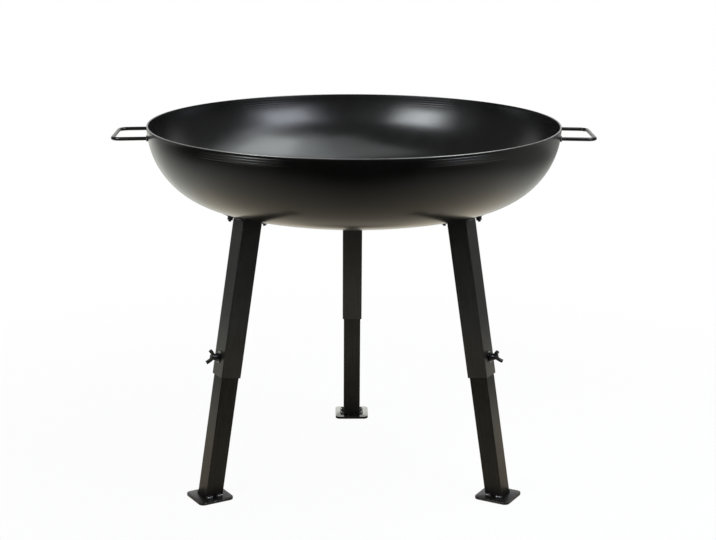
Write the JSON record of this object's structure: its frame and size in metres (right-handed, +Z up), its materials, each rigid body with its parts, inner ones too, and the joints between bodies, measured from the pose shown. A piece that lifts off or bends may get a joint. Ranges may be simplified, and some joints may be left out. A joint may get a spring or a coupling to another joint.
{
  "type": "fire bowl",
  "caption": "Shallow round steel fire bowl with rod handles at its sides, on splayed telescopic square legs with foot plates and wing-bolt clamps.",
  "frame": {"origin": "on the floor, on the bowl's axis, which is also the centre of the bounding box's bottom", "axes": "+Z up along the bowl's axis, +X to the right towards a handle, +Y to the back towards the rear leg; the front is -Y, between the other legs"},
  "size_m": [0.908, 0.78, 0.692],
  "materials": {
    "bowl_black": "satin heat-proof black, spun",
    "handle_black": "satin heat-proof black",
    "tube_black": "satin black powder coat",
    "plate_black": "satin black powder coat",
    "fastener_black": "black"
  },
  "bodies": {
    "bowl_and_upper_legs": {"bowl": "bowl_black", "handle_left": "handle_black", "handle_right": "handle_black", "leg_upper_rear": "tube_black", "leg_upper_left": "tube_black", "leg_upper_right": "tube_black", "clamp_nut_rear": "fastener_black", "clamp_nut_left": "fastener_black", "clamp_nut_right": "fastener_black", "strap_rear": "tube_black", "strap_left": "tube_black", "strap_right": "tube_black", "coach_bolt_rear_inner": "fastener_black", "coach_bolt_rear_outer": "fastener_black", "coach_bolt_left_inner": "fastener_black", "coach_bolt_left_outer": "fastener_black", "coach_bolt_right_inner": "fastener_black", "coach_bolt_right_outer": "fastener_black", "washer_rear_inner": "fastener_black", "washer_rear_outer": "fastener_black", "washer_left_inner": "fastener_black", "washer_left_outer": "fastener_black", "washer_right_inner": "fastener_black", "washer_right_outer": "fastener_black", "nut_rear_inner": "fastener_black", "nut_rear_outer": "fastener_black", "nut_left_inner": "fastener_black", "nut_left_outer": "fastener_black", "nut_right_inner": "fastener_black", "nut_right_outer": "fastener_black"},
    "extension_rear": {"leg_lower_rear": "tube_black", "foot_plate_rear": "plate_black"},
    "extension_left": {"leg_lower_left": "tube_black", "foot_plate_left": "plate_black"},
    "extension_right": {"leg_lower_right": "tube_black", "foot_plate_right": "plate_black"},
    "clamp_rear": {"wing_bolt_rear": "fastener_black"},
    "clamp_left": {"wing_bolt_left": "fastener_black"},
    "clamp_right": {"wing_bolt_right": "fastener_black"}
  },
  "joints": [
    {"name": "leg_slide_rear", "type": "slide", "parent": "bowl_and_upper_legs", "child": "extension_rear", "axis": [0, 0.165, -0.9863], "range_m": [-0.13, 0.1]},
    {"name": "leg_slide_left", "type": "slide", "parent": "bowl_and_upper_legs", "child": "extension_left", "axis": [-0.1429, -0.0825, -0.9863], "range_m": [-0.13, 0.1]},
    {"name": "leg_slide_right", "type": "slide", "parent": "bowl_and_upper_legs", "child": "extension_right", "axis": [0.1429, -0.0825, -0.9863], "range_m": [-0.13, 0.1]},
    {"name": "wing_bolt_turn_rear", "type": "hinge", "parent": "bowl_and_upper_legs", "child": "clamp_rear", "pos_m": [0, 0.29046, 0.27381], "axis": [0, 0.9863, 0.165], "range_deg": [0, 720]},
    {"name": "wing_bolt_turn_left", "type": "hinge", "parent": "bowl_and_upper_legs", "child": "clamp_left", "pos_m": [-0.25154, -0.14523, 0.27381], "axis": [-0.8541, -0.4931, 0.165], "range_deg": [0, 720]},
    {"name": "wing_bolt_turn_right", "type": "hinge", "parent": "bowl_and_upper_legs", "child": "clamp_right", "pos_m": [0.25154, -0.14523, 0.27381], "axis": [0.8541, -0.4931, 0.165], "range_deg": [0, 720]}
  ]
}
